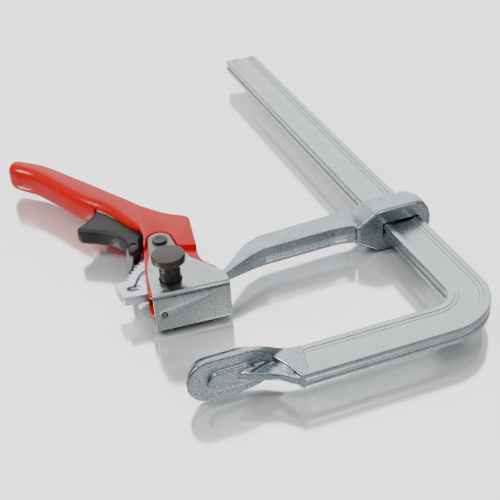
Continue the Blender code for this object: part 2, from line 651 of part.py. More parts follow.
FACE = -17.9                     # distance from the pin to the clamping face
LEFT = -16.2
RIGHT = 36.0
BEND = 3.6
sheet = FLANGE_OUT - FLANGE_IN


def u_ring(u):
    """Section of the bent sheet at one place along the web: (v, z) points."""
    outer = []
    inner = []
    top = 42.0
    for side in (1, -1):
        arc_out = []
        arc_in = []
        for k in range(5):
            a = math.radians(22.5 * k)
            arc_out.append((FACE + BEND - BEND * math.cos(a),
                            side * (FLANGE_OUT - BEND + BEND * math.sin(a))))
            r = BEND - sheet
            arc_in.append((FACE + BEND - r * math.cos(a),
                           side * (FLANGE_OUT - BEND + r * math.sin(a))))
        outer.append(arc_out + [(top, side * FLANGE_OUT)])
        inner.append(arc_in + [(top, side * FLANGE_IN)])
    loop = outer[1][::-1] + outer[0] + inner[0][::-1] + inner[1]
    ring = []
    for v, z in loop:
        x, y = plate_place([(u, v)])[0]
        ring.append(Vector((x, y, z)))
    return ring


plate_object = bm_to_object("pressure_plate", loft([u_ring(LEFT), u_ring(RIGHT)]),
                            zinc("pressure_plate_zinc"), plate_pivot)
keep = plate_place([(LEFT, FACE - 2.0), (RIGHT, FACE - 2.0)])
keep += [(38.5, 71.3), (36.3, 76.9), (27.0, 92.8), (22.5, 100.5)]
keep += disc((8.5, 107.5), 12.5, 8, 10.0, 160.0)
keep += [(-7.2, 103.6), (-10.4, 91.9), (-12.2, 82.5), (-13.7, 74.3)]
blank = plate_object.modifiers.new("flange outline", "BOOLEAN")
blank.operation = "INTERSECT"
blank.solver = "EXACT"
blank_tool = bm_to_object("flange_guide", prism(keep, -20.0, 20.0), None, smooth=False)
blank_tool.hide_render = True
blank_tool.display_type = "WIRE"
blank.object = blank_tool
cut(plate_object, prism(disc(PLATE_PIVOT, KNOB_R + 0.5, 32), -20.0, 20.0))
rivet_u = -9.8
rivet_z = -1.0


def across_web(profile, segments=16):
    """Turn an (r, v) profile about the line through the web at the rivet's place."""
    rings = []
    for r, v in profile:
        ring = []
        for k in range(segments):
            a = 2.0 * math.pi * k / segments
            x, y = plate_place([(rivet_u + max(r, 0.01) * math.cos(a), v)])[0]
            ring.append(Vector((x, y, rivet_z + max(r, 0.01) * math.sin(a))))
        rings.append(ring)
    return loft(rings)


cut(plate_object, across_web([(2.2, FACE - 3.0), (2.2, FACE + 6.0)]))
bm_to_object("plate_rivet", across_web([(1.4, FACE - 0.4), (1.9, FACE), (1.9, FACE + 3.4),
                                        (1.4, FACE + 3.9)]),
             steel("plate_rivet_steel"), plate_pivot)
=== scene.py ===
# %% [markdown]
# # A one-handed lever clamp
#
# The clamp lies on its side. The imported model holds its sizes, its moving bodies and its
# joints, and this lesson gives each of its pieces a finished shape and a finish. Lengths are
# written in millimetres, because that is how a clamp is drawn, and one constant turns them
# into Blender's metres.

# %% Load the frame
import math

import bmesh
import bpy
from mathutils import Matrix, Vector


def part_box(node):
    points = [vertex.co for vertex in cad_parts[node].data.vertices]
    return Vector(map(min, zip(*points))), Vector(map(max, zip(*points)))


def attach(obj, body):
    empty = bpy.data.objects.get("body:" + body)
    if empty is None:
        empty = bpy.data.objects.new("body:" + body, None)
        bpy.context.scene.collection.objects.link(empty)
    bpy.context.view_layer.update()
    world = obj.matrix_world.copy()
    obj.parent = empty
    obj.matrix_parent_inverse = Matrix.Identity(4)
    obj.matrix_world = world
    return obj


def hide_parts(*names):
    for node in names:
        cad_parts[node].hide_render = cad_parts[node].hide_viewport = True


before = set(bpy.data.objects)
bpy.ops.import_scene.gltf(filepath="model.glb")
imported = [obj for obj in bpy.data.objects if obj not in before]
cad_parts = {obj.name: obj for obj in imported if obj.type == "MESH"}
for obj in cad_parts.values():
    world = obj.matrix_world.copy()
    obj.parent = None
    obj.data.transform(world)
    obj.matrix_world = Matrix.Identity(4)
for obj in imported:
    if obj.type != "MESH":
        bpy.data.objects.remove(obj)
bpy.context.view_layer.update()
MM = 0.001


def centre_of(node):
    """Middle of a CAD node's box, in millimetres."""
    low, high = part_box(node)
    return (low + high) / 2 / MM


# %% [markdown]
# ## Finishes
#
# Every finish is a Principled shader fed by noise on Object coordinates, so the grain sits in
# the metal and does not slide when a piece moves. Plating is never one even grey: zinc leaves
# a fine crystalline speckle, a slow cloudiness and faint unevenness that breaks reflections.
# One builder makes them all, and each finish only names its colours and the size of its grain.

# %% One builder for the finishes
CLOUD_MM = 14.0                 # size of the slow cloudiness
RELIEF_MM = 0.15                # depth of the grain


def finish(name, dark, light, metallic, rough, grain, bump):
    """A finish: two colours mixed by speckle, a roughness range, and a grain in the surface."""
    mat = bpy.data.materials.new(name)
    mat.use_nodes = True
    nodes = mat.node_tree.nodes
    link = mat.node_tree.links.new
    bsdf = nodes["Principled BSDF"]
    bsdf.inputs["Metallic"].default_value = metallic
    place = nodes.new("ShaderNodeTexCoord")

    def noise(cells_per_metre, detail):
        node = nodes.new("ShaderNodeTexNoise")
        node.inputs["Scale"].default_value = cells_per_metre
        node.inputs["Detail"].default_value = detail
        link(place.outputs["Object"], node.inputs["Vector"])
        return node.outputs["Fac"]

    def spread(value, low, high):
        node = nodes.new("ShaderNodeMapRange")
        node.inputs["From Min"].default_value = 0.3
        node.inputs["From Max"].default_value = 0.7
        node.inputs["To Min"].default_value = low
        node.inputs["To Max"].default_value = high
        link(value, node.inputs["Value"])
        return node.outputs["Result"]

    speckle = noise(1000.0 / grain, 3.0)
    clouds = noise(1000.0 / CLOUD_MM, 2.0)
    both = nodes.new("ShaderNodeMath")
    both.operation = "ADD"
    link(spread(speckle, 0.0, 0.7), both.inputs[0])
    link(spread(clouds, 0.0, 0.3), both.inputs[1])
    ramp = nodes.new("ShaderNodeValToRGB")
    ramp.color_ramp.elements[0].color = (*dark, 1.0)
    ramp.color_ramp.elements[1].color = (*light, 1.0)
    link(both.outputs["Value"], ramp.inputs["Fac"])
    link(ramp.outputs["Color"], bsdf.inputs["Base Color"])
    link(spread(speckle, *rough), bsdf.inputs["Roughness"])
    relief = nodes.new("ShaderNodeBump")
    relief.inputs["Strength"].default_value = bump
    relief.inputs["Distance"].default_value = RELIEF_MM * MM
    link(speckle, relief.inputs["Height"])
    link(relief.outputs["Normal"], bsdf.inputs["Normal"])
    return mat


ZINC_RAIL = finish("zinc on the rolled rail", (0.24, 0.27, 0.28), (0.38, 0.41, 0.42), 1.0,
                   (0.18, 0.30), 0.9, 0.08)
ZINC_FORGED = finish("zinc on the forgings", (0.13, 0.155, 0.175), (0.34, 0.38, 0.41), 1.0,
                     (0.20, 0.33), 1.0, 0.26)
ZINC_PLATE = finish("zinc on the bent plate", (0.20, 0.215, 0.22), (0.35, 0.375, 0.38), 1.0,
                    (0.18, 0.32), 0.9, 0.16)
ZINC_SEGMENT = finish("zinc on the toothed segment", (0.34, 0.37, 0.40), (0.62, 0.66, 0.70), 1.0,
                      (0.28, 0.45), 0.8, 0.35)
POWDER_RED = finish("red powder coat", (0.34, 0.0006, 0.0005), (0.40, 0.0010, 0.0008), 0.0,
                    (0.15, 0.21), 0.6, 0.04)
BURNISHED = finish("blackened turned steel", (0.022, 0.019, 0.017), (0.060, 0.052, 0.046), 0.75,
                   (0.34, 0.46), 0.5, 0.08)
PHOSPHATE = finish("brown grey phosphate", (0.12, 0.105, 0.09), (0.24, 0.215, 0.19), 0.65,
                   (0.42, 0.55), 0.6, 0.20)
STEEL = finish("plain steel", (0.20, 0.20, 0.20), (0.36, 0.36, 0.36), 1.0, (0.30, 0.42), 0.5,
               0.10)
# Dark steel for the pawl, the return wire and the pressure plate's rivet. Its darkness is partly
# the steel's own and partly painted shade: the shade under the trigger, in the rivet's dimple
# and along the wire.
DARK_STEEL_WITH_SHADE = finish("hardened pawl steel", (0.07, 0.07, 0.072), (0.15, 0.15, 0.155), 0.9,
                    (0.34, 0.46), 0.6, 0.12)
PLASTIC = finish("moulded black plastic", (0.008, 0.0075, 0.007), (0.016, 0.015, 0.014), 0.0,
                 (0.40, 0.52), 0.35, 0.22)
for mat, level in ((POWDER_RED, 0.16), (PLASTIC, 0.18)):
    mat.node_tree.nodes["Principled BSDF"].inputs["Specular IOR Level"].default_value = level
print("finishes made:", len(bpy.data.materials))

# %% [markdown]
# ## Shape helpers
#
# Most of the clamp is flat work: an outline, a thickness and an edge. So three helpers carry
# the lesson. One draws a smooth outline through a few drawn points, one skins a row of rings
# into a closed solid, and one rounds the rims of a flat solid, by a radius that may change
# along the outline. That last one is what turns a flat pattern into a bent sheet channel.

# %% Outlines
def smooth_loop(points, step=2.0, closed=True, parts=None):
    """Centripetal Catmull-Rom through points, with a point every step, or parts for each gap."""
    pts = [Vector(p) for p in points]
    count = len(pts)
    result = []
    for i in range(count if closed else count - 1):
        if closed:
            p0, p1, p2, p3 = (pts[(i + k) % count] for k in (-1, 0, 1, 2))
        else:
            p1, p2 = pts[i], pts[i + 1]
            p0 = pts[i - 1] if i > 0 else p1 * 2 - p2
            p3 = pts[i + 2] if i + 2 < count else p2 * 2 - p1
        t1 = max((p1 - p0).length, 1e-6) ** 0.5
        t2 = t1 + max((p2 - p1).length, 1e-6) ** 0.5
        t3 = t2 + max((p3 - p2).length, 1e-6) ** 0.5
        pieces = parts or max(1, round((p2 - p1).length / step))
        for k in range(pieces):
            t = t1 + (t2 - t1) * k / pieces
            a1 = p0.lerp(p1, t / t1)
            a2 = p1.lerp(p2, (t - t1) / (t2 - t1))
            a3 = p2.lerp(p3, (t - t2) / (t3 - t2))
            b1 = a1.lerp(a2, t / t2)
            b2 = a2.lerp(a3, (t - t1) / (t3 - t1))
            result.append(b1.lerp(b2, (t - t1) / (t2 - t1)))
    if not closed:
        result.append(pts[-1])
    return result


def arc(centre, radius, start, end, parts=24):
    """Points on an arc, in degrees; a full turn leaves out its last point."""
    stop = parts if abs(end - start) >= 360.0 else parts + 1
    angles = [math.radians(start + (end - start) * k / parts) for k in range(stop)]
    return [(centre[0] + radius * math.cos(a), centre[1] + radius * math.sin(a)) for a in angles]


def inwards(outline):
    """For each point of a counter-clockwise outline, its step for an inset of 1 mm."""
    steps = []
    count = len(outline)
    for i in range(count):
        p0, p1, p2 = (Vector(outline[(i + k) % count][:2]) for k in (-1, 0, 1))
        d1 = (p1 - p0).normalized()
        d2 = (p2 - p1).normalized()
        n1 = Vector((-d1.y, d1.x))
        mid = (n1 + Vector((-d2.y, d2.x))).normalized()
        steps.append(mid / max(0.4, mid.dot(n1)))
    return steps


def inset(outline, dist):
    return [tuple(Vector(p[:2]) + way * dist) for p, way in zip(outline, inwards(outline))]


# %% Solids
def skin(rings, caps=True):
    """Join rings of equal counts into a solid; caps closes the two ends."""
    bm = bmesh.new()
    rows = [[bm.verts.new(p) for p in ring] for ring in rings]
    count = len(rings[0])
    for a, b in zip(rows, rows[1:]):
        for i in range(count):
            j = (i + 1) % count
            bm.faces.new((a[i], a[j], b[j], b[i]))
    if caps:
        bm.faces.new(rows[0][::-1])
        bm.faces.new(rows[-1])
    return bm


def flat(outline, low, high):
    return skin([[Vector((p[0], p[1], z)) for p in outline] for z in (low, high)])


def rounded(outline, radii, low, high, steps=6):
    """A flat solid whose two rims are rounded, each outline point by its own radius."""
    ways = inwards(outline)
    middle = (low + high) / 2
    half = (high - low) / 2
    rings = []
    turns = [math.radians(90.0 * k / steps) for k in range(steps + 1)]
    for sign, order in ((-1, turns[::-1]), (1, turns)):
        for t in order:
            ring = []
            for p, way, r in zip(outline, ways, radii):
                shift = r * (1.0 - math.cos(t))
                z = middle + sign * (half - r + r * math.sin(t))
                ring.append(Vector((p[0] + way.x * shift, p[1] + way.y * shift, z)))
            rings.append(ring)
    return skin(rings)


def turned(profile, centre, sides=72):
    """Turn a (radius, z) profile about the upright line through centre; it ends on the axis."""
    rings = []
    for r, z in profile:
        ring = arc(centre, max(r, 0.02), 0.0, 360.0, sides)
        rings.append([Vector((x, y, z)) for x, y in ring])
    return skin(rings)


def washer_like(profile, centre, sides=72):
    """Turn a closed (radius, z) loop, for rings."""
    rings = []
    for r, z in profile + profile[:1]:
        rings.append([Vector((x, y, z)) for x, y in arc(centre, r, 0.0, 360.0, sides)])
    bm = skin(rings, caps=False)
    bmesh.ops.remove_doubles(bm, verts=bm.verts[:], dist=1e-5)
    return bm


def rounded_profile(points, radius=0.4, parts=4):
    """Round the corners of a (radius, z) profile, ends left as they are."""
    result = [points[0]]
    for p0, p1, p2 in zip(points, points[1:], points[2:]):
        a, b, c = Vector(p0), Vector(p1), Vector(p2)
        r = min(radius, (a - b).length * 0.45, (c - b).length * 0.45)
        start = b + (a - b).normalized() * r
        end = b + (c - b).normalized() * r
        for k in range(parts + 1):
            t = k / parts
            result.append(tuple(start.lerp(b, t).lerp(b.lerp(end, t), t)))
    result.append(points[-1])
    return result


# %% Objects
def to_object(name, bm, mat=None):
    """A bmesh drawn in millimetres becomes an object in metres, faces turned outwards."""
    bmesh.ops.recalc_face_normals(bm, faces=bm.faces[:])
    if bm.calc_volume(signed=True) < 0.0:
        bmesh.ops.reverse_faces(bm, faces=bm.faces[:])
    bmesh.ops.scale(bm, vec=(MM, MM, MM), verts=bm.verts[:])
    mesh = bpy.data.meshes.new(name)
    bm.to_mesh(mesh)
    bm.free()
    if mat is not None:
        mesh.materials.append(mat)
    ob = bpy.data.objects.new(name, mesh)
    bpy.context.scene.collection.objects.link(ob)
    return ob


def boolean(ob, bm, operation="DIFFERENCE"):
    """Cut or join a bmesh, and keep only the result."""
    tool = to_object("tool", bm)
    mod = ob.modifiers.new("cut", "BOOLEAN")
    mod.operation = operation
    mod.solver = "EXACT"
    mod.object = tool
    bake(ob)
    bpy.data.objects.remove(tool, do_unlink=True)


def bake(ob):
    """Replace an object's mesh by what its modifiers make of it."""
    mats = [m for m in ob.data.materials]
    graph = bpy.context.evaluated_depsgraph_get()
    mesh = bpy.data.meshes.new_from_object(ob.evaluated_get(graph))
    ob.modifiers.clear()
    old = ob.data
    ob.data = mesh
    ob.data.name = ob.name
    bpy.data.meshes.remove(old)
    if not ob.data.materials:
        for m in mats:
            ob.data.materials.append(m)


def shade(ob, degrees=35.0):
    ob.data.shade_smooth()
    ob.data.set_sharp_from_angle(angle=math.radians(degrees))


def edges(ob, width, segments=2, degrees=32.0):
    """Break the sharp edges, as tumbling and plating do."""
    bm = bmesh.new()
    bm.from_mesh(ob.data)
    bmesh.ops.remove_doubles(bm, verts=bm.verts[:], dist=0.00001)
    bmesh.ops.dissolve_limit(bm, angle_limit=math.radians(0.6), verts=bm.verts[:],
                             edges=bm.edges[:])
    bm.to_mesh(ob.data)
    bm.free()
    mod = ob.modifiers.new("edges", "BEVEL")
    mod.width = width * MM
    mod.segments = segments
    mod.limit_method = "ANGLE"
    mod.angle_limit = math.radians(degrees)
    bake(ob)
    shade(ob, 40.0)


def heap(*solids):
    """Put several overlapping solids in one bmesh, to be melted together."""
    total = bmesh.new()
    for bm in solids:
        bmesh.ops.recalc_face_normals(bm, faces=bm.faces[:])
        mesh = bpy.data.meshes.new("solid")
        bm.to_mesh(mesh)
        bm.free()
        total.from_mesh(mesh)
        bpy.data.meshes.remove(mesh)
    return total


def forge(ob, voxel, rounds):
    """Melt a built-up shape into one skin with soft blends, like metal from a die."""
    mod = ob.modifiers.new("skin", "REMESH")
    mod.mode = "VOXEL"
    mod.voxel_size = voxel * MM
    bake(ob)
    mod = ob.modifiers.new("soft", "SMOOTH")
    mod.factor = 0.5
    mod.iterations = rounds
    bake(ob)
    ob.data.shade_smooth()


def report(ob, body, *nodes):
    """Ride on the body, stand for the nodes by hiding them, and say what was made."""
    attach(ob, body)
    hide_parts(*nodes)
    size = [round(v / MM, 1) for v in ob.dimensions]
    print(f"{ob.name}: {len(ob.data.polygons)} faces, {size} mm")


# %% [markdown]
# ## The rail
#
# The rail is a hot-rolled bar with a stepped profile, bent once with a wide radius. It is one
# section carried along one path, which is what Curve to Mesh in Geometry Nodes is for. The
# tree takes the path from the object, the section from a second curve, and fills the two ends.
# The path runs along the inner edge, so the section's own X is the distance across the bar.

# %% Rail sizes
RAIL_X = 165.0
RAIL_WIDTH = 28.0
RAIL_HALF = 5.5
BEND_R = 16.0
RAIL_END_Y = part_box("rail")[1].y / MM
LIMB_Y = -9.5
LIMB_START_X = 47.0
RAIL_CHAMFER = 0.7


def rail_section():
    """Half of the section from one narrow face to the other, then its mirror image."""
    w, h = RAIL_WIDTH, RAIL_HALF
    left = [(0.45, 0.0), (0.45, 1.1), (0.1, 1.5), (0.0, 1.9), (0.0, h - 1.0), (0.3, h - 0.3),
            (1.0, h), (4.2, h), (4.5, h - 0.08), (4.8, h - 0.52), (5.1, h - 0.6),
            (6.9, h - 0.6), (7.1, h - 0.66), (7.4, h - 1.0), (7.8, h - 1.05)]
    top = left + [(w - x, z) for x, z in reversed(left)]
    return top + [(x, -z) for x, z in reversed(top[1:-1])]


def poly_curve(name, points, cyclic):
    data = bpy.data.curves.new(name, "CURVE")
    data.dimensions = "3D"
    data.twist_mode = "Z_UP"
    spline = data.splines.new("POLY")
    spline.points.add(len(points) - 1)
    for point, p in zip(spline.points, points):
        z = p[2] if len(p) > 2 else 0.0
        point.co = (p[0] * MM, p[1] * MM, z * MM, 1.0)
    spline.use_cyclic_u = cyclic
    ob = bpy.data.objects.new(name, data)
    bpy.context.scene.collection.objects.link(ob)
    return ob


# %% A Geometry Nodes tree that sweeps a section along a path
def sweep_tree():
    tree = bpy.data.node_groups.new("sweep a section", "GeometryNodeTree")
    face = tree.interface
    face.new_socket("Path", in_out="INPUT", socket_type="NodeSocketGeometry")
    section_in = face.new_socket("Section", in_out="INPUT", socket_type="NodeSocketObject")
    mat_in = face.new_socket("Material", in_out="INPUT", socket_type="NodeSocketMaterial")
    face.new_socket("Mesh", in_out="OUTPUT", socket_type="NodeSocketGeometry")
    nodes = tree.nodes
    source = nodes.new("NodeGroupInput")
    info = nodes.new("GeometryNodeObjectInfo")
    sweep = nodes.new("GeometryNodeCurveToMesh")
    real = nodes.new("GeometryNodeRealizeInstances")
    paint = nodes.new("GeometryNodeSetMaterial")
    target = nodes.new("NodeGroupOutput")
    sweep.inputs["Fill Caps"].default_value = True
    link = tree.links.new
    link(source.outputs["Section"], info.inputs["Object"])
    link(source.outputs["Path"], sweep.inputs["Curve"])
    link(info.outputs["Geometry"], sweep.inputs["Profile Curve"])
    link(sweep.outputs["Mesh"], real.inputs["Geometry"])
    link(real.outputs["Geometry"], paint.inputs["Geometry"])
    link(source.outputs["Material"], paint.inputs["Material"])
    link(paint.outputs["Geometry"], target.inputs["Mesh"])
    return tree, section_in.identifier, mat_in.identifier


def swept(name, path, section, mat):
    """Run the sweep and keep a plain, closed mesh whose faces point outwards."""
    tree, section_id, mat_id = SWEEP
    mod = path.modifiers.new("sweep", "NODES")
    mod.node_group = tree
    mod[section_id] = section
    mod[mat_id] = mat
    graph = bpy.context.evaluated_depsgraph_get()
    mesh = bpy.data.meshes.new_from_object(path.evaluated_get(graph))
    bm = bmesh.new()
    bm.from_mesh(mesh)
    bmesh.ops.remove_doubles(bm, verts=bm.verts[:], dist=1e-6)
    bmesh.ops.scale(bm, vec=(1 / MM,) * 3, verts=bm.verts[:])
    bpy.data.meshes.remove(mesh)
    bpy.data.objects.remove(path, do_unlink=True)
    bpy.data.objects.remove(section, do_unlink=True)
    return to_object(name, bm, mat)


SWEEP = sweep_tree()
bend = arc((RAIL_X - BEND_R, LIMB_Y + BEND_R), BEND_R, -90.0, 0.0, 48)
rail_path = [(LIMB_START_X, LIMB_Y), (60.0, LIMB_Y)] + bend + [(RAIL_X, RAIL_END_Y)]
rail = swept("rail_bar", poly_curve("rail path", rail_path, False),
             poly_curve("rail section", rail_section(), True), ZINC_RAIL)

# %% Chamfer the rail's free end
bm = bmesh.new()
bm.from_mesh(rail.data)
rim = [e for e in bm.edges if all(v.co.y > (RAIL_END_Y - 0.01) * MM for v in e.verts)]
bmesh.ops.bevel(bm, geom=rim, offset=RAIL_CHAMFER * MM, segments=3, affect="EDGES", profile=0.5)
bm.to_mesh(rail.data)
bm.free()
shade(rail, 28.0)
report(rail, "frame", "rail")

# %% [markdown]
# ## The fixed jaw
#
# The jaw is forged onto the rail's end: a round-ended pad with a raised boss on its back, and
# a thin web with a rib along its outer edge that runs onto the boss. Blends like these are
# tedious to draw and easy to melt: the plain shapes are joined, skinned with small voxels and
# smoothed, and the boss has a slanting wall, so its foot softens too.

# %% Fixed jaw
PAD_R = 15.2
PAD_X = -4.0
BACK_SIDE = [(19.0, 14.9), (26.0, 13.5), (32.6, 10.2), (37.0, 6.4), (39.6, 3.4)]
LIMB_SIDE = [(22.0, 15.2), (29.0, 13.9), (36.0, 11.4), (43.0, 8.2), (50.0, 4.9)]


def pad_ring(y, radius, spread, taper):
    """Upright outline: a round end, long flanks, and a nose that spreads into the limb."""
    f = radius / PAD_R
    nose = []
    for k, (back, limb) in enumerate(zip(BACK_SIDE, LIMB_SIDE)):
        x, z = Vector(back).lerp(Vector(limb), spread)
        nose.append((x - taper * (3.0 + 3.0 * k), -z * f))
    bow = smooth_loop(nose, closed=False, parts=4)
    loop = arc((PAD_X, 0.0), radius, 90.0, 270.0, 40)
    loop += [tuple(p) for p in bow] + [(p[0], -p[1]) for p in reversed(bow)]
    return [Vector((x, y, z)) for x, z in loop]


pad = skin([
    pad_ring(-12.6, PAD_R - 0.9, 0.0, 0.0), pad_ring(-12.3, PAD_R - 0.4, 0.0, 0.0),
    pad_ring(-11.7, PAD_R, 0.1, 0.0), pad_ring(-8.6, PAD_R - 0.5, 1.0, 0.15),
    pad_ring(-5.0, PAD_R - 2.9, 1.0, 0.55), pad_ring(-1.2, PAD_R - 4.8, 1.0, 0.9),
    pad_ring(0.0, 9.6, 1.0, 1.0)])
boss = []
for r, y in ((7.6, -11.5), (7.4, -12.6), (6.9, -14.7), (6.5, -15.0)):
    loop = arc((0.6, -0.9), r, 90.0, 270.0, 24) + arc((18.0, -0.9), r, -90.0, 90.0, 24)
    boss.append([Vector((x, y, z)) for x, z in loop])
web = [(50.8, -37.45), (57.0, -9.6), (49.5, -8.6), (43.5, -6.9), (38.0, -4.6), (33.0, -1.8),
       (27.0, -3.0), (27.0, -11.9), (36.4, -12.2), (39.0, -17.0), (41.2, -22.5), (43.2, -29.5),
       (45.0, -36.0), (47.0, -37.3)]
web_floor = [(47.1, -34.6), (46.3, -9.6), (17.3, -11.1), (17.3, -16.6), (19.4, -17.9),
             (43.6, -32.6)]
shoulder = [(38.7, -8.3), (15.7, -10.5), (15.7, -16.1), (18.7, -17.5), (28.1, -14.3),
            (38.7, -11.2)]
rib = smooth_loop([(46.6, -36.1), (46.6, -32.6), (43.3, -30.6), (32.2, -24.2), (21.2, -17.6),
                   (18.0, -15.8), (16.8, -11.5), (13.6, -11.5), (13.0, -15.2), (15.7, -17.2),
                   (25.3, -21.9), (35.0, -27.0), (43.6, -35.4)], 1.5)
rib = [tuple(p) for p in rib]
jaw = to_object("fixed_jaw", heap(
    pad, skin(boss), flat(web_floor, -1.2, 1.2),
    rounded(web, [0.8] * 7 + [1.8] * 6 + [0.8], -RAIL_HALF - 0.02, RAIL_HALF + 0.02, 4),
    rounded(shoulder, [0.7] * len(shoulder), -3.5, 3.5, 3),
    rounded(rib, [0.7] * len(rib), -2.8, 2.8, 3)), ZINC_FORGED)
forge(jaw, 0.45, 3)
report(jaw, "frame", "rail")

# %% [markdown]
# ## The sliding arm
#
# The arm is a second forging: a bar, ridged at its sides, that thins into a tongue at the
# lever's pivot and swells into a boss around the rail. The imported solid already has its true
# flats and the window, so its mesh is copied, its loose triangles are merged, and the copy is
# melted like the jaw. The flats stay flat and every edge gets the radius of a worn die.

# %% Sliding arm
def copy_of(node, name, mat):
    """A merged copy of a CAD node's mesh as a new object."""
    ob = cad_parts[node].copy()
    ob.data = ob.data.copy()
    ob.name = name
    ob.data.name = name
    for key in list(ob.keys()):
        del ob[key]
    ob.parent = None
    bpy.context.scene.collection.objects.link(ob)
    ob.data.materials.clear()
    ob.data.materials.append(mat)
    bm = bmesh.new()
    bm.from_mesh(ob.data)
    bmesh.ops.remove_doubles(bm, verts=bm.verts[:], dist=1e-6)
    bmesh.ops.dissolve_limit(bm, angle_limit=math.radians(0.5), verts=bm.verts[:],
                             edges=bm.edges[:])
    bm.to_mesh(ob.data)
    bm.free()
    return ob


arm = copy_of("sliding_arm", "forged_arm", ZINC_FORGED)
forge(arm, 0.5, 2)
report(arm, "arm", "sliding_arm")

# %% [markdown]
# ## The toothed segment
#
# The segment is stamped from thick plate and its teeth are cut. They follow a circle about the
# lever's pivot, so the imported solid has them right, and only the burr-free edges are missing:
# a small bevel on every sharp edge does that. A short bent wire, the return spring, lies
# in the segment's slot and runs under the cheek. It is the rail's sweep again, with a circle.

# %% Toothed segment and its wire
segment = copy_of("toothed_segment", "stamped_segment", ZINC_SEGMENT)
edges(segment, 0.3, 2)
report(segment, "arm", "toothed_segment")
wire_points = smooth_loop([(-16.6, 95.4, 3.1), (-21.6, 95.9, 3.1), (-23.3, 96.8, 3.1),
                           (-23.6, 98.6, 3.1), (-21.8, 99.6, 3.1), (-19.4, 99.4, 3.7),
                           (-17.4, 101.0, 4.2), (-15.4, 104.6, 4.2), (-13.4, 107.8, 4.2),
                           (-10.0, 111.4, 4.2), (-5.0, 114.2, 4.2), (1.0, 115.4, 4.2),
                           (7.0, 114.6, 4.2), (12.0, 111.8, 4.2)], 0.8, closed=False)
# The wire takes the dark steel, which partly paints the shade along its run.
wire = swept("return_wire", poly_curve("wire path", wire_points, False),
             poly_curve("wire section", arc((0.0, 0.0), 0.5, 0.0, 360.0, 16), True), DARK_STEEL_WITH_SHADE)
shade(wire)
report(wire, "arm", "return_spring")

# %% [markdown]
# ## The lever
#
# The lever is one sheet of steel, pressed into a channel. Its back, towards the fingers, is
# rounded with a wide radius that runs out into flat cheeks at the head, and the head's cheeks
# are stepped inwards around the link plates. Outside and inside are the same outline, one
# inset by the sheet, each rounded by its own radii, so the wall keeps its thickness all round.

# %% Lever sizes
CHEEK = 11.9
SHEET = 2.5
STEP = 8.7
SLOT = 6.8
GRIP_R = 8.5
A = centre_of("pivot_pin").xy
K = centre_of("knob_pin").xy
LINK_RIVET = centre_of("link_rivet_upper").xy
TRIGGER_PIVOT = centre_of("trigger_pin").xy
LINK_END = (11.3, 136.3)
PIN_HOLES = ((A, 4.3), (K, 7.4), (LINK_RIVET, 3.3))
print("pivots:", A, K, LINK_RIVET, TRIGGER_PIVOT)

# %% Lever outline, with the rounding at each drawn point
far_side = [(39.2, 153.8, 0.1), (38.0, 157.3, 0.1), (26.4, 167.4, 0.1), (17.7, 178.8, 0.1),
            (11.8, 187.6, 0.1), (5.5, 200.0, 0.1), (-3.0, 215.4, 0.1), (-13.2, 234.6, 0.1),
            (-24.2, 254.6, 0.1), (-35.6, 275.0, 0.1), (-42.3, 285.2, 0.8), (-48.2, 292.4, 2.2)]
tip = [(-51.8, 297.8, 3.8), (-55.4, 302.0, 5.4), (-59.8, 303.6, 6.8), (-63.6, 301.4, 7.6),
       (-65.4, 297.0, 8.0), (-64.4, 291.6, 8.2)]
near_side = [(-61.8, 287.0), (-57.0, 281.2), (-50.8, 272.6), (-45.2, 261.0), (-40.0, 249.0),
             (-34.9, 236.4), (-29.9, 225.0), (-24.0, 214.2), (-16.6, 202.6), (-11.0, 191.6)]
near_side = [(x, y, GRIP_R) for x, y in near_side]
near_side += [(-6.4, 179.8, 7.0), (-2.0, 168.8, 5.2), (1.8, 160.0, 3.0), (2.8, 154.0, 0.8)]
head = [(2.3, 145.5), (-1.4, 132.8), (-5.4, 118.2), (-8.0, 108.2), (-10.8, 96.4), (-13.0, 86.4),
        (-14.3, 77.6), (-12.0, 74.6), (-4.0, 73.9), (10.0, 73.4), (17.0, 72.9), (24.0, 72.6),
        (31.0, 74.4), (36.2, 79.6), (37.8, 86.0), (36.7, 91.9), (33.9, 96.2), (31.5, 101.6),
        (30.9, 109.0), (32.4, 117.0), (34.7, 128.8), (37.5, 143.6)]
head = [(x, y, 0.1) for x, y in head]
lever_loop = smooth_loop(far_side + tip + near_side + head, 2.2)
outline = [(p.x, p.y) for p in lever_loop]
radii = [min(GRIP_R, max(0.1, p.z)) for p in lever_loop]


def step_edge(offset):
    """Where the cheeks step in: a line, an arch around the link plate's end, a line."""
    r = 8.9 + offset
    points = [(-60.0, 132.0 + offset), (LINK_END[0] - r - 2.4, 131.2 + offset)]
    points += arc(LINK_END, r, 165.0, 0.0, 28)
    return points + [(LINK_END[0] + r, 122.2 + offset), (80.0, 95.5 + offset)]


# %% Press the lever
lever = to_object("pressed_lever", rounded(outline, radii, -CHEEK, CHEEK, 10), POWDER_RED)
inner = inset(outline, SHEET)
curved = [i for i, p in enumerate(outline) if p[1] > 156.0 and radii[i] > 2.4]
start, stop = curved[0], curved[-1] + 1
tip_cap = [min(max(0.1, r - SHEET), 0.35 + 0.16 * k) for k, r in enumerate(radii[start:stop])]
open_side = [(90.0, 140.0), (90.0, 240.0), (0.0, 300.0), (-34.0, 300.0)]
cavity = open_side + inner[start:stop] + [(-12.0, 152.0)] + step_edge(SHEET)
cavity_radii = [0.02] * 4 + tip_cap + [0.02] * (1 + len(step_edge(0.0)))
boolean(lever, rounded(cavity, cavity_radii, SHEET - CHEEK, CHEEK - SHEET, 8))
boolean(lever, flat([(-9.0, 210.8), (-70.0, 180.0), (-60.0, 138.0), (9.0, 150.0), (6.0, 180.0)],
                    -SLOT, SLOT))
under = [(80.0, 40.0), (-60.0, 40.0)]
boolean(lever, flat([(x, y + 0.6) for x, y in step_edge(SHEET)] + under, SHEET - STEP,
                    STEP - SHEET))
for side in (1, -1):
    wall = [[Vector((x, y, side * z)) for x, y in step_edge(slant) + under]
            for slant, z in ((-0.3, STEP), (0.9, CHEEK + 0.8))]
    boolean(lever, skin(wall))
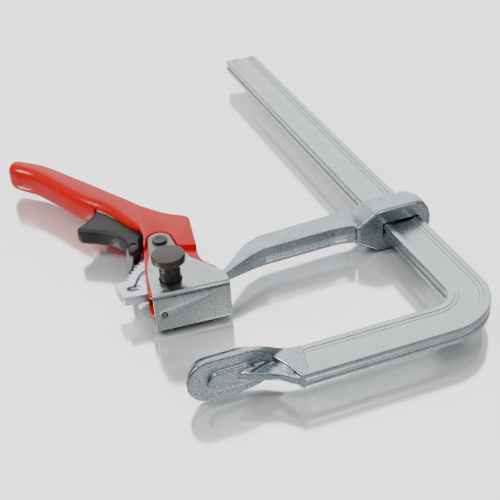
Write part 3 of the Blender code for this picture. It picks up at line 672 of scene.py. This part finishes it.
for centre, radius in PIN_HOLES:
    boolean(lever, flat(arc(centre, radius, 0.0, 360.0, 48), -20.0, 20.0))
edges(lever, 0.45, 3, 34.0)
report(lever, "lever", "lever_handle")

# %% [markdown]
# ## Link plates, rivets and the knob
#
# A plate on each cheek ties the three pins of the head together. The plates are blanked from
# strip, so their rims are nearly square with a small roll-over. The pins are turned: a
# profile beside an axis, with each corner rounded before it is spun.

# %% Link plates
LINK_INSIDE = 9.0
LINK_OUTSIDE = CHEEK - 0.05
LINK_END_R = 8.2
LINK_KNOB_R = 12.6
LINK_RIM = 0.45
link_loop = arc(LINK_END, LINK_END_R, 0.0, 171.0, 32) + arc(K, LINK_KNOB_R, 171.0, 276.0, 32)
link_loop += arc(A, LINK_END_R, 276.0, 410.0, 24)
link_loop += [tuple(p) for p in smooth_loop([(28.6, 90.4), (24.6, 94.4), (20.2, 103.2),
                                             (19.5, 112.0), (19.5, 128.0)], 2.0, closed=False)]
for side, word in ((1, "upper"), (-1, "lower")):
    low, high = sorted((side * LINK_INSIDE, side * LINK_OUTSIDE))
    blank = rounded(link_loop, [LINK_RIM] * len(link_loop), low, high, 4)
    link = to_object("link_blank_" + word, blank, PHOSPHATE)
    for centre, radius in PIN_HOLES:
        boolean(link, flat(arc(centre, radius, 0.0, 360.0, 48), -20.0, 20.0))
    shade(link, 40.0)
    report(link, "lever", "link_plate_" + word)
    head_profile = rounded_profile([(0.0, 5.2), (4.6, 5.2), (4.6, 5.9), (3.0, 5.9), (3.0, 12.2),
                                    (5.35, 12.2), (5.35, 14.3), (2.4, 14.3), (2.0, 13.9),
                                    (0.0, 13.9)], 0.45)
    rivet = turned([(r, side * z) for r, z in head_profile], LINK_RIVET)
    rivet = to_object("head_rivet_" + word, rivet, BURNISHED)
    shade(rivet, 40.0)
    report(rivet, "lever", "link_rivet_" + word)

# %% The knob that carries the pressure plate
knob_profile = rounded_profile([
    (0.0, -17.0), (5.4, -17.0), (5.8, -16.4), (5.8, -15.3), (7.1, -15.1), (7.1, 22.3),
    (6.3, 23.0), (6.3, 25.6), (7.0, 27.4), (8.8, 28.6), (10.9, 28.9), (11.4, 29.4),
    (11.4, 33.1), (10.7, 34.1), (0.0, 34.1)], 0.5)
knob = to_object("turned_knob", turned(knob_profile, K, 96), BURNISHED)
shade(knob, 40.0)
report(knob, "lever", "knob_pin")
clip = to_object("snap_ring", washer_like([(6.1, -16.7), (8.8, -16.7), (9.0, -16.5),
                                           (9.0, -15.8), (8.8, -15.6), (6.1, -15.6)], K),
                 BURNISHED)
shade(clip)
report(clip, "lever", "knob_ring")

# %% [markdown]
# ## The pressure plate
#
# The plate is bent sheet too, but its bends are tight and straight, so its section is drawn
# once and pulled along the web. The flanges are then trimmed to their outline, and the holes
# for the knob are cut through both. The plate stands a few degrees open at rest.

# %% Pressure plate
TILT = math.radians(-4.4)
FACE = -17.9
BEND_OUT = 3.8
FLANGE = 15.0
THICK = 2.8


def on_plate(u, v):
    """The plate's own frame, pin at its origin and face towards -v, in the clamp's frame."""
    return (K.x + u * math.cos(TILT) - v * math.sin(TILT),
            K.y + u * math.sin(TILT) + v * math.cos(TILT))


def plate_ring(u):
    loop = []
    top = 42.0
    for side, order in ((-1, -1), (1, 1)):
        bend = [(FACE + BEND_OUT - BEND_OUT * math.cos(t), FLANGE - BEND_OUT
                 + BEND_OUT * math.sin(t)) for t in [math.radians(7.5 * k) for k in range(13)]]
        run = [(v, side * z) for v, z in bend] + [(top, side * FLANGE)]
        loop += run[::order]
    r = BEND_OUT - THICK
    for side, order in ((1, -1), (-1, 1)):
        bend = [(FACE + BEND_OUT - r * math.cos(t), FLANGE - BEND_OUT + r * math.sin(t))
                for t in [math.radians(15.0 * k) for k in range(7)]]
        run = [(v, side * z) for v, z in bend] + [(top, side * (FLANGE - THICK))]
        loop += run[::order]
    return [Vector((*on_plate(u, v), z)) for v, z in loop]


plate = to_object("bent_plate", skin([plate_ring(-16.2), plate_ring(36.0)]), ZINC_PLATE)
right = smooth_loop([(38.5, 71.3), (36.3, 76.9), (31.5, 85.3), (27.0, 92.8), (22.5, 100.3)], 3.0,
                    closed=False)
left = smooth_loop([(-7.2, 103.6), (-10.4, 91.9), (-12.2, 82.5), (-13.7, 74.3)], 3.0,
                   closed=False)
keep = [on_plate(-16.2, FACE - 2.0), on_plate(36.0, FACE - 2.0)] + [tuple(p) for p in right]
keep += arc((8.5, 107.5), 12.5, 10.0, 160.0, 40) + [tuple(p) for p in left]
boolean(plate, flat(keep, -20.0, 20.0), "INTERSECT")
boolean(plate, flat(arc(K, 7.6, 0.0, 360.0, 64), -20.0, 20.0))
rings = []
for v in (FACE - 3.0, FACE + 6.0):
    ring = []
    for x, z in arc((-9.8, -1.0), 2.2, 0.0, 360.0, 40):
        ring.append(Vector((*on_plate(x, v), z)))
    rings.append(ring)
boolean(plate, skin(rings))
edges(plate, 0.45, 3, 34.0)
report(plate, "plate", "pressure_plate")

# %% [markdown]
# ## The trigger and the pawl
#
# The trigger is moulded, so every rim has a generous radius and the finger side is hollowed.
# Its pawl is a steel tooth whose claw stands just outside the segment's teeth, so that the
# lever can swing past them. Both are flat solids with rounded rims, the pawl's much smaller.

# %% Trigger
trigger_points = [
    (-36.4, 187.0), (-36.6, 183.4), (-33.6, 180.2), (-24.6, 174.2), (-18.3, 168.8),
    (-13.6, 163.4), (-10.8, 158.2), (-9.2, 152.4), (-9.3, 146.0), (-10.6, 140.0),
    (-8.0, 136.8), (-4.6, 138.8), (-1.8, 143.0), (-0.8, 147.5), (1.6, 151.8), (6.2, 154.6),
    (9.0, 154.0), (12.0, 155.0), (14.6, 158.0), (14.8, 161.6), (12.6, 165.0), (8.0, 166.4),
    (2.4, 172.8), (-3.4, 183.4), (-10.0, 195.2), (-14.2, 202.0), (-17.6, 204.2), (-26.4, 193.9)]
trigger_loop = [(p.x, p.y) for p in smooth_loop(trigger_points, 1.6)]
trigger_radii = [1.6 + 1.8 * min(1.0, max(0.0, (y - 158.0) / 14.0)) for x, y in trigger_loop]
trigger = to_object("moulded_trigger", rounded(trigger_loop, trigger_radii, -6.3, 6.3, 8),
                    PLASTIC)
boolean(trigger, flat([(-30.0, 130.0), (10.0, 130.0), (4.0, 152.6), (-9.8, 152.6),
                       (-14.0, 146.0)], -3.7, 3.7))
PAWL_PIN = centre_of("pawl_pin").xy
for centre, radius, half in ((PAWL_PIN, 2.3, 12.0), (TRIGGER_PIVOT, 2.3, 12.0),
                             (TRIGGER_PIVOT, 8.6, 2.6)):
    boolean(trigger, flat(arc(centre, radius, 0.0, 360.0, 40), -half, half))
edges(trigger, 0.25, 2, 40.0)
report(trigger, "trigger", "trigger")

# %% Pawl and its pin
# The pawl's dark steel is partly painted shade, for the shade it sits in under the trigger.
pawl = copy_of("pawl", "steel_pawl", DARK_STEEL_WITH_SHADE)
edges(pawl, 0.35, 2, 20.0)
report(pawl, "trigger", "pawl")
pin_profile = rounded_profile([(0.0, -5.6), (2.0, -5.6), (2.0, 5.6), (0.0, 5.6)], 0.5)
pawl_pin = to_object("pawl_pin_turned", turned(pin_profile, PAWL_PIN), BURNISHED)
shade(pawl_pin, 40.0)
report(pawl_pin, "trigger", "pawl_pin")

# %% [markdown]
# ## The trigger's spring
#
# A torsion spring sits in the trigger's hub. A coil is a helix with a round section, so
# Geometry Nodes draws it from four numbers: turns, radius, height and the wire's radius.

# %% Coil tree
def coil_tree():
    tree = bpy.data.node_groups.new("coil spring", "GeometryNodeTree")
    face = tree.interface
    ids = {}
    for word in ("Turns", "Radius", "Height", "Wire"):
        ids[word] = face.new_socket(word, in_out="INPUT",
                                    socket_type="NodeSocketFloat").identifier
    ids["Material"] = face.new_socket("Material", in_out="INPUT",
                                      socket_type="NodeSocketMaterial").identifier
    face.new_socket("Mesh", in_out="OUTPUT", socket_type="NodeSocketGeometry")
    nodes = tree.nodes
    source = nodes.new("NodeGroupInput")
    helix = nodes.new("GeometryNodeCurveSpiral")
    helix.inputs["Resolution"].default_value = 40
    ring = nodes.new("GeometryNodeCurvePrimitiveCircle")
    ring.inputs["Resolution"].default_value = 14
    sweep = nodes.new("GeometryNodeCurveToMesh")
    sweep.inputs["Fill Caps"].default_value = True
    real = nodes.new("GeometryNodeRealizeInstances")
    paint = nodes.new("GeometryNodeSetMaterial")
    target = nodes.new("NodeGroupOutput")
    link = tree.links.new
    link(source.outputs["Turns"], helix.inputs["Rotations"])
    link(source.outputs["Radius"], helix.inputs["Start Radius"])
    link(source.outputs["Radius"], helix.inputs["End Radius"])
    link(source.outputs["Height"], helix.inputs["Height"])
    link(source.outputs["Wire"], ring.inputs["Radius"])
    link(helix.outputs["Curve"], sweep.inputs["Curve"])
    link(ring.outputs["Curve"], sweep.inputs["Profile Curve"])
    link(sweep.outputs["Mesh"], real.inputs["Geometry"])
    link(real.outputs["Geometry"], paint.inputs["Geometry"])
    link(source.outputs["Material"], paint.inputs["Material"])
    link(paint.outputs["Geometry"], target.inputs["Mesh"])
    return tree, ids


# %% Coil
tree, ids = coil_tree()
holder = bpy.data.objects.new("coil holder", bpy.data.meshes.new("coil holder"))
bpy.context.scene.collection.objects.link(holder)
mod = holder.modifiers.new("coil", "NODES")
mod.node_group = tree
for word, value in (("Turns", 3.0), ("Radius", 3.4 * MM), ("Height", 3.4 * MM),
                    ("Wire", 0.45 * MM), ("Material", STEEL)):
    mod[ids[word]] = value
graph = bpy.context.evaluated_depsgraph_get()
mesh = bpy.data.meshes.new_from_object(holder.evaluated_get(graph))
bpy.data.objects.remove(holder, do_unlink=True)
bm = bmesh.new()
bm.from_mesh(mesh)
bpy.data.meshes.remove(mesh)
bmesh.ops.remove_doubles(bm, verts=bm.verts[:], dist=1e-6)
bmesh.ops.scale(bm, vec=(1 / MM,) * 3, verts=bm.verts[:])
bmesh.ops.translate(bm, vec=(*TRIGGER_PIVOT, -1.7), verts=bm.verts[:])
coil = to_object("torsion_coil", bm, STEEL)
shade(coil)
report(coil, "lever", "trigger_spring")

# %% [markdown]
# ## Small steel that keeps its imported shape
#
# The pivot pin, its washers and the rivets of the lap joint are right as they are: they only
# change their finish. A CAD node takes a new material in its slot and is never touched.

# %% Repaint
# The pressure plate's rivet takes the dark steel, which paints the shade of its dimple.
for node, mat in (("pivot_pin", STEEL), ("washer_upper", STEEL), ("washer_lower", STEEL),
                  ("segment_rivet_a", STEEL), ("segment_rivet_b", STEEL),
                  ("trigger_pin", STEEL), ("plate_rivet", DARK_STEEL_WITH_SHADE)):
    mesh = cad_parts[node].data
    mesh.materials.clear()
    mesh.materials.append(mat)
print("repainted small steel")

# %% [markdown]
# ## Floor, light and camera
#
# The clamp lies on a pale, slightly glossy table that mirrors it softly. Metal is only as good
# as what it reflects, so the sky darkens towards the horizon and has one broad bright patch
# behind the clamp. Three soft panels add the highlights: above, at the lever and in front.

# %% Floor
FLOOR_GAP = 0.0002              # metres between the table and the lowest piece
FLOOR_HALF = 6000
FLOOR_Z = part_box("sliding_arm")[0].z - FLOOR_GAP
floor_bm = bmesh.new()
corners = [floor_bm.verts.new((x * FLOOR_HALF, y * FLOOR_HALF, FLOOR_Z / MM)) for x, y in
           ((-1, -1), (1, -1), (1, 1), (-1, 1))]
floor_bm.faces.new(corners)
floor_bm.normal_update()
bmesh.ops.scale(floor_bm, vec=(MM, MM, MM), verts=floor_bm.verts[:])
floor_mesh = bpy.data.meshes.new("pale table")
floor_bm.to_mesh(floor_mesh)
floor_bm.free()
floor = bpy.data.objects.new("pale table", floor_mesh)
bpy.context.scene.collection.objects.link(floor)
table = bpy.data.materials.new("pale table")
table.use_nodes = True
table_bsdf = table.node_tree.nodes["Principled BSDF"]
table_bsdf.inputs["Base Color"].default_value = (0.9, 0.9, 0.9, 1.0)
table_bsdf.inputs["Metallic"].default_value = 0.68
table_bsdf.inputs["Roughness"].default_value = 0.13
floor_mesh.materials.append(table)

# %% Light
world = bpy.data.worlds.new("studio")
bpy.context.scene.world = world
world.use_nodes = True
wn = world.node_tree.nodes
wl = world.node_tree.links.new
BRIGHT_SIDE = Vector((0.28, 0.80, 0.53))
sky_place = wn.new("ShaderNodeTexCoord")
sky_split = wn.new("ShaderNodeSeparateXYZ")
sky_ramp = wn.new("ShaderNodeValToRGB")
sky_ramp.color_ramp.elements[0].color = (0.13, 0.14, 0.15, 1.0)
sky_ramp.color_ramp.elements[1].position = 0.9
sky_ramp.color_ramp.elements[1].color = (1.0, 1.0, 1.0, 1.0)
toward = wn.new("ShaderNodeVectorMath")
toward.operation = "DOT_PRODUCT"
toward.inputs[1].default_value = BRIGHT_SIDE.normalized()
lobe = wn.new("ShaderNodeMapRange")
lobe.interpolation_type = "SMOOTHSTEP"
lobe.inputs["From Min"].default_value = 0.74
lobe.inputs["From Max"].default_value = 0.93
lobe.inputs["To Max"].default_value = 2.2
add = wn.new("ShaderNodeMix")
add.data_type = "RGBA"
add.blend_type = "ADD"
add.inputs["Factor"].default_value = 1.0
wl(sky_place.outputs["Generated"], sky_split.inputs["Vector"])
wl(sky_place.outputs["Generated"], toward.inputs[0])
wl(sky_split.outputs["Z"], sky_ramp.inputs["Fac"])
wl(toward.outputs["Value"], lobe.inputs["Value"])
wl(sky_ramp.outputs["Color"], add.inputs["A"])
wl(lobe.outputs["Result"], add.inputs["B"])
wl(add.outputs["Result"], wn["Background"].inputs["Color"])
wn["Background"].inputs["Strength"].default_value = 1.0


def panel(name, place, aim, size, power):
    light = bpy.data.lights.new(name, "AREA")
    light.shape = "SQUARE"
    light.size = size
    light.energy = power
    ob = bpy.data.objects.new(name, light)
    ob.location = place
    ob.rotation_euler = (Vector(aim) - Vector(place)).to_track_quat("-Z", "Y").to_euler()
    bpy.context.scene.collection.objects.link(ob)


panel("ceiling panel", (-0.5, 0.0, 1.5), (0.05, 0.12, 0.0), 0.5, 10.0)
panel("lever panel", (-1.5, 0.5, 1.25), (-0.03, 0.22, 0.0), 0.4, 34.0)
panel("front panel", (0.55, -1.1, 1.6), (0.0, 0.06, 0.0), 0.5, 7.0)

# %% Camera
CAMERA_PLACE = Vector((-148.64, -516.28, 432.79)) * MM
YAW, DOWN, ROLL = (math.radians(a) for a in (19.170, 33.065, -3.899))
ahead = Vector((math.sin(YAW) * math.cos(DOWN), math.cos(YAW) * math.cos(DOWN), -math.sin(DOWN)))
level = Vector((math.cos(YAW), -math.sin(YAW), 0.0))
over = level.cross(ahead)
right_way = math.cos(ROLL) * level + math.sin(ROLL) * over
up_way = math.cos(ROLL) * over - math.sin(ROLL) * level
camera_data = bpy.data.cameras.new("camera")
camera_data.lens = 80.98
camera_data.sensor_width = 36.0
camera = bpy.data.objects.new("camera", camera_data)
turn = Matrix((right_way, up_way, -ahead)).transposed()
camera.matrix_world = Matrix.Translation(CAMERA_PLACE) @ turn.to_4x4()
bpy.context.scene.collection.objects.link(camera)
bpy.context.scene.camera = camera
